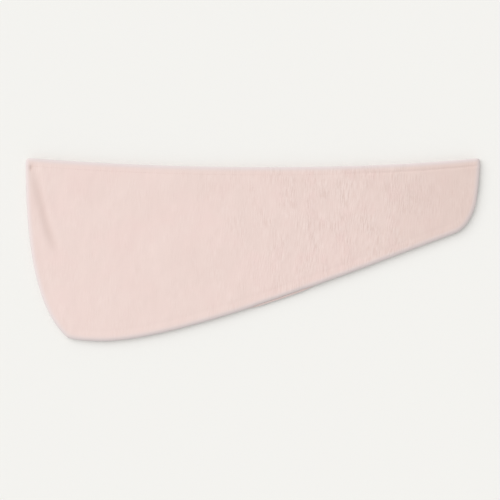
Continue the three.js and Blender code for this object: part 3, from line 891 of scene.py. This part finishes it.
# Two skins of the ribbon, one face of each between every four points, and strips along the rims.
points, uvs = [], []
for surface in faces_of:
    for x, row in zip(label_x, surface):
        points.append(np.column_stack([np.full(steps, x), row]))
        uvs.append(np.column_stack([np.full(steps, x - label_box.mean(0)[0]), run]))
count = len(label_x) * steps
faces = []
for k in range(len(label_x) - 1):
    for j in range(steps - 1):
        a = k * steps + j
        quad = (a, a + steps, a + steps + 1, a + 1)
        faces += [tuple(v + count for v in quad), quad[::-1]]
for k, turned in ((0, False), (len(label_x) - 1, True)):
    for j in range(steps - 1):
        a = k * steps + j
        quad = (a, a + count, a + 1 + count, a + 1)
        faces.append(quad[::-1] if turned else quad)
for j, turned in ((0, True), (steps - 1, False)):
    for k in range(len(label_x) - 1):
        a = k * steps + j
        quad = (a, a + count, a + steps + count, a + steps)
        faces.append(quad[::-1] if turned else quad)
ribbon = make_piece("satin_care_label", np.concatenate(points), faces, np.concatenate(uvs), material)
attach(ribbon, "pocket")
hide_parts("care_label")


# ---- Button -------------------------------------------------------------------------------------
# A round pearly button with a hollow face and four holes, sewn under the back panel on a shank of
# thread. Its face looks at the table.
HOLE_OUT, HOLE_RADIUS = 2.4, 1.0
BUTTON_SIDES, HOLE_SIDES = 96, 28
BUTTON_DARK = (0.66, 0.47, 0.43, 1)
BUTTON_LIGHT = (0.86, 0.72, 0.68, 1)
BUTTON_PROFILE = [
    (0, 1.1), (5.6, 1.1), (6.9, 0.98), (7.7, 0.6), (8.3, 0.14), (8.9, 0.0), (9.6, 0.02), (10.2, 0.22),
    (10.7, 0.7), (10.95, 1.3), (11.0, 1.8), (10.9, 2.4), (10.5, 2.95), (9.8, 3.35), (8.8, 3.56),
    (7.4, 3.6), (0, 3.6),
]

material, wires, shader = new_finish("pearly_button", Coat_Weight=0.35, Coat_Roughness=0.12)
place = wires.node("ShaderNodeTexCoord", output=3)
swirl = place.scaled((1, 1, 0.3)).noise(90, 3.0, 0.6)
shine = place.scaled((0.5, 2, 1)).noise(260, 1.0)
colour = (swirl * 0.8 + shine * 0.35).ramp(0.35, 0.8).between(BUTTON_DARK, BUTTON_LIGHT)
bump = wires.node("ShaderNodeBump", Height=swirl, Strength=0.1, Distance=0.0002)
feed(shader, Base_Color=colour, Roughness=0.2 + shine * 0.16, Normal=bump)


def lathed(name, profile, centre, sides):
    """A turned solid about an upright axis. The first and last point of the profile lie on it."""
    turns = np.linspace(0, 2 * math.pi, sides, endpoint=False)
    points = [(0, 0, profile[0][1])]
    points += [(r * math.cos(t), r * math.sin(t), z) for r, z in profile[1:-1] for t in turns]
    points.append((0, 0, profile[-1][1]))
    faces = [(0, 1 + (j + 1) % sides, 1 + j) for j in range(sides)]
    for k in range(len(profile) - 3):
        for j in range(sides):
            a, b = 1 + k * sides + j, 1 + k * sides + (j + 1) % sides
            faces.append((a, b, b + sides, a + sides))
    last = 1 + (len(profile) - 3) * sides
    faces += [(len(points) - 1, last + j, last + (j + 1) % sides) for j in range(sides)]
    points = np.array(points) + (*centre, 0)
    return make_piece(name, points, faces, points[:, :2], material)


disc = lathed("sewn_button", BUTTON_PROFILE, button_at, BUTTON_SIDES)
hole_places = [(x * HOLE_OUT, y * HOLE_OUT) for x in (-1, 1) for y in (-1, 1)]
drill_profile = [(0, -1), (HOLE_RADIUS, -1), (HOLE_RADIUS, 5), (0, 5)]
drills = []
for number, hole in enumerate(hole_places):
    drill = lathed(f"drill_{number}", drill_profile, button_at + hole, HOLE_SIDES)
    drills.append(drill)
    modifier = disc.modifiers.new(drill.name, "BOOLEAN")
    modifier.object = drill
    modifier.solver = "EXACT"
drilled = bpy.data.meshes.new_from_object(disc.evaluated_get(bpy.context.evaluated_depsgraph_get()))
disc.modifiers.clear()
disc.data = drilled
for drill in drills:
    bpy.data.objects.remove(drill)
disc.data.shade_smooth()
disc.data.set_sharp_from_angle(angle=math.radians(38))
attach(disc, "button")
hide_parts("button")


# ---- Button thread ------------------------------------------------------------------------------
# Two crossed bars of three strands each in the hollow face, and the strands through the holes
# that end in a wound shank under the cloth.
STRAND_RADIUS, STRAND_SIDES = 0.27, 8
STRANDS_BESIDE = (-0.42, 0, 0.42)
SHANK_LOW, SHANK_HIGH = 3.9, 4.6
SHANK_RADIUS, WINDING_RADIUS = 1.95, 2.2
WINDINGS = 3
BAR_STEPS, WINDING_STEPS, LEG_STEPS = 60, 110, 14
CORE_SIDES = 24


def tube(path, radius, sides=10, relief=None):
    """Points, faces and map of a closed tube, in millimetres. The map runs around and along it."""
    path = np.asarray(path, float)
    way = np.gradient(path, axis=0)
    way /= np.linalg.norm(way, axis=1)[:, None]
    side = np.cross(way[0], (0, 0, 1) if abs(way[0][2]) < 0.9 else (1, 0, 0))
    rings, uvs = [], []
    run = np.concatenate([[0], np.cumsum(np.linalg.norm(np.diff(path, axis=0), axis=1))])
    turns = np.linspace(0, 2 * math.pi, sides, endpoint=False)
    for spot, forward, at in zip(path, way, run):
        out = radius + (relief(turns, at) if relief else 0 * turns)
        side = side - forward * side.dot(forward)
        side /= np.linalg.norm(side)
        up = np.cross(forward, side)
        rings.append(spot + (out * np.cos(turns))[:, None] * side + (out * np.sin(turns))[:, None] * up)
        uvs.append(np.column_stack([turns * radius, np.full(sides, at)]))
    faces = []
    for k in range(len(path) - 1):
        for j in range(sides):
            a, b = k * sides + j, k * sides + (j + 1) % sides
            faces.append((a, b, b + sides, a + sides))
    faces.append(tuple(reversed(range(sides))))
    faces.append(tuple(range((len(path) - 1) * sides, len(path) * sides)))
    return np.concatenate(rings), faces, np.concatenate(uvs)


def joined(parts):
    """Several point, face and map sets as one."""
    points, faces, uvs = [], [], []
    for own_points, own_faces, own_uvs in parts:
        first = sum(len(p) for p in points)
        points.append(own_points)
        uvs.append(own_uvs)
        faces += [tuple(v + first for v in face) for face in own_faces]
    return np.concatenate(points), faces, np.concatenate(uvs)


def rounded_path(route, count):
    """A smooth path through some points, by Catmull and Rom's spline."""
    route = np.asarray(route, float)
    padded = np.vstack([2 * route[0] - route[1], route, 2 * route[-1] - route[-2]])
    spots = []
    for t in np.linspace(0, len(route) - 1, count):
        k = min(int(t), len(route) - 2)
        a, b, c, d = padded[k : k + 4]
        t -= k
        square, cube = 2 * a - 5 * b + 4 * c - d, 3 * b - a - 3 * c + d
        spots.append(0.5 * (2 * b + (c - a) * t + square * t**2 + cube * t**3))
    return np.array(spots)


parts = []
for sign in (-1, 1):
    start, end = np.array((-HOLE_OUT, -HOLE_OUT * sign)), np.array((HOLE_OUT, HOLE_OUT * sign))
    beside = np.array((sign, -1)) / math.sqrt(2)
    for offset in STRANDS_BESIDE:
        shift = beside * offset
        layer = 0.5 if sign > 0 else 0.86
        route = [
            (*(start + shift), 3.5),
            (*(start + shift), 1.9),
            (*(start * 0.97 + shift), 1.25),
            (*(start * 0.72 + shift), layer + 0.1),
            (*shift, layer - 0.14),
            (*(end * 0.72 + shift), layer + 0.1),
            (*(end * 0.97 + shift), 1.25),
            (*(end + shift), 1.9),
            (*(end + shift), 3.5),
        ]
        parts.append(tube(rounded_path(route, BAR_STEPS) + (*button_at, 0), STRAND_RADIUS, STRAND_SIDES))
crossed = make_piece("crossed_stitches", *joined(parts), thread)
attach(crossed, "button")
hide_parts("button_stitches")

turns = np.linspace(0, 2 * math.pi * WINDINGS, WINDING_STEPS)
rise = np.linspace(SHANK_LOW, SHANK_HIGH, WINDING_STEPS)
winding = np.column_stack([WINDING_RADIUS * np.cos(turns), WINDING_RADIUS * np.sin(turns), rise])
parts = [tube(winding + (*button_at, 0), STRAND_RADIUS, STRAND_SIDES)]
for x, y in hole_places:
    for k in (-1, 1):
        foot = (x * 0.9 + 0.2 * k, y * 0.9, 3.45)
        route = [foot, (x * 0.62 + 0.2 * k, y * 0.62, 3.8), (x * 0.4 + 0.3 * k, y * 0.4, 4.3)]
        route.append((x * 0.4 + 0.3 * k, y * 0.4, BUTTON_RISE + 0.7))
        parts.append(tube(rounded_path(route, LEG_STEPS) + (*button_at, 0), STRAND_RADIUS, STRAND_SIDES))
shank_heights = (SHANK_LOW - 0.2, (SHANK_LOW + SHANK_HIGH) / 2, SHANK_HIGH)
core = tube([(0, 0, z) for z in shank_heights], SHANK_RADIUS, CORE_SIDES)
parts.append((core[0] + (*button_at, 0), core[1], core[2]))
shank = make_piece("wound_shank", *joined(parts), thread)
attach(shank, "button")
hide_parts("button_shank")


# ---- Elastic loop -------------------------------------------------------------------------------
# A braided elastic cord, sewn in at both ends beside the tail's corner under the back panel. Two
# sets of braid ridges cross on its skin.
ELASTIC_RADIUS = 1.5
LOOP_STEPS, LOOP_SIDES = 640, 64
BRAID_TURNS, BRAID_PITCH, BRAID_RELIEF = 8, 1.5, 0.09
ELASTIC_DARK = (0.60, 0.43, 0.39, 1)
ELASTIC_LIGHT = (0.83, 0.68, 0.64, 1)
HALF_LOOP = [(0, 0.239), (0.12, 0.28), (0.28, 0.5), (0.48, 0.83)]
HALF_LOOP += [(0.69, 1), (0.85, 0.89), (0.96, 0.5), (1, 0)]

material, wires, shader = new_finish("braided_elastic", Specular_IOR_Level=0.3)
flat = wires.node("ShaderNodeUVMap", {"uv_map": "cut"})
around = wires.node("ShaderNodeSeparateXYZ", Vector=flat)
lengthwise = wires.node("ShaderNodeSeparateXYZ", output=1, Vector=flat)
turn = around * (BRAID_TURNS / ELASTIC_RADIUS / MM)
pitch = lengthwise * (2 * math.pi / BRAID_PITCH / MM)
one_way = (turn + pitch).math("SINE", turn + pitch)
other_way = (turn - pitch).math("SINE", turn - pitch)
braid = one_way.math("MAXIMUM", one_way, other_way)
fibres = flat.noise(3000, 2.0)
# Painted shade: the cord is darker in the grooves between the braid's ridges.
shade = (braid * 0.35 + 0.5 + (fibres - 0.5) * 0.4).ramp(0.1, 1.0)
colour = shade.between(ELASTIC_DARK, ELASTIC_LIGHT)
bump = wires.node("ShaderNodeBump", Height=fibres, Strength=0.5, Distance=0.0001)
feed(shader, Base_Color=colour, Roughness=0.62 + fibres * 0.2, Normal=bump)


def braid_relief(turns, at):
    """The ridges of the braid stand out from its crossings."""
    pitch = 2 * math.pi * at / BRAID_PITCH
    ridges = np.maximum(np.sin(BRAID_TURNS * turns + pitch), np.sin(BRAID_TURNS * turns - pitch))
    return BRAID_RELIEF * (ridges - 1)


root = np.array(joints["loop_swing"]["pos_m"]) / MM
reach = root[0] - loop_box[0][0] - ELASTIC_RADIUS
half_wide = (loop_box[1][1] - loop_box[0][1]) / 2 - ELASTIC_RADIUS
there = [(-share * reach, -out * half_wide, 0) for share, out in HALF_LOOP]
back_again = [(x, -y, z) for x, y, z in there[::-1][1:]]
loop_path = rounded_path(there + back_again, LOOP_STEPS) + root
cord = tube(loop_path, ELASTIC_RADIUS, LOOP_SIDES, braid_relief)
elastic = make_piece("braided_loop", *cord, material)
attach(elastic, "loop")
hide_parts("elastic_loop")


# ---- Bar tack -----------------------------------------------------------------------------------
# A dense zigzag over a few long threads, which holds both ends of the loop in the seam.
TACK_PITCH, TACK_REACH = 0.5, 2.1
TACK_RADIUS, CORE_RADIUS = 0.24, 0.2
TACK_INSET = 0.3
TACK_UP, CORE_UP = 0.1, 0.22
CORE_THREADS = (-1.2, 0, 1.2)

tack_box = np.array(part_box("loop_bar_tack")) / MM
middle_x, middle_y, middle_z = tack_box.mean(0)
half_long = (tack_box[1] - tack_box[0])[1] / 2 - TACK_INSET
ways = int(2 * half_long / TACK_PITCH)
zigzag = []
for k in range(ways + 1):
    y = middle_y - half_long + 2 * half_long * k / ways
    zigzag.append((middle_x + (TACK_REACH if k % 2 else -TACK_REACH), y, middle_z + TACK_UP))
parts = [tube(rounded_path(zigzag, 12 * ways), TACK_RADIUS, STRAND_SIDES)]
for x in CORE_THREADS:
    run = np.linspace(-half_long, half_long, 12)
    line = [(middle_x + x, middle_y + y, middle_z + CORE_UP) for y in run]
    parts.append(tube(line, CORE_RADIUS, STRAND_SIDES))
tack = make_piece("zigzag_bar_tack", *joined(parts), thread)
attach(tack, "tip")
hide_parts("loop_bar_tack")
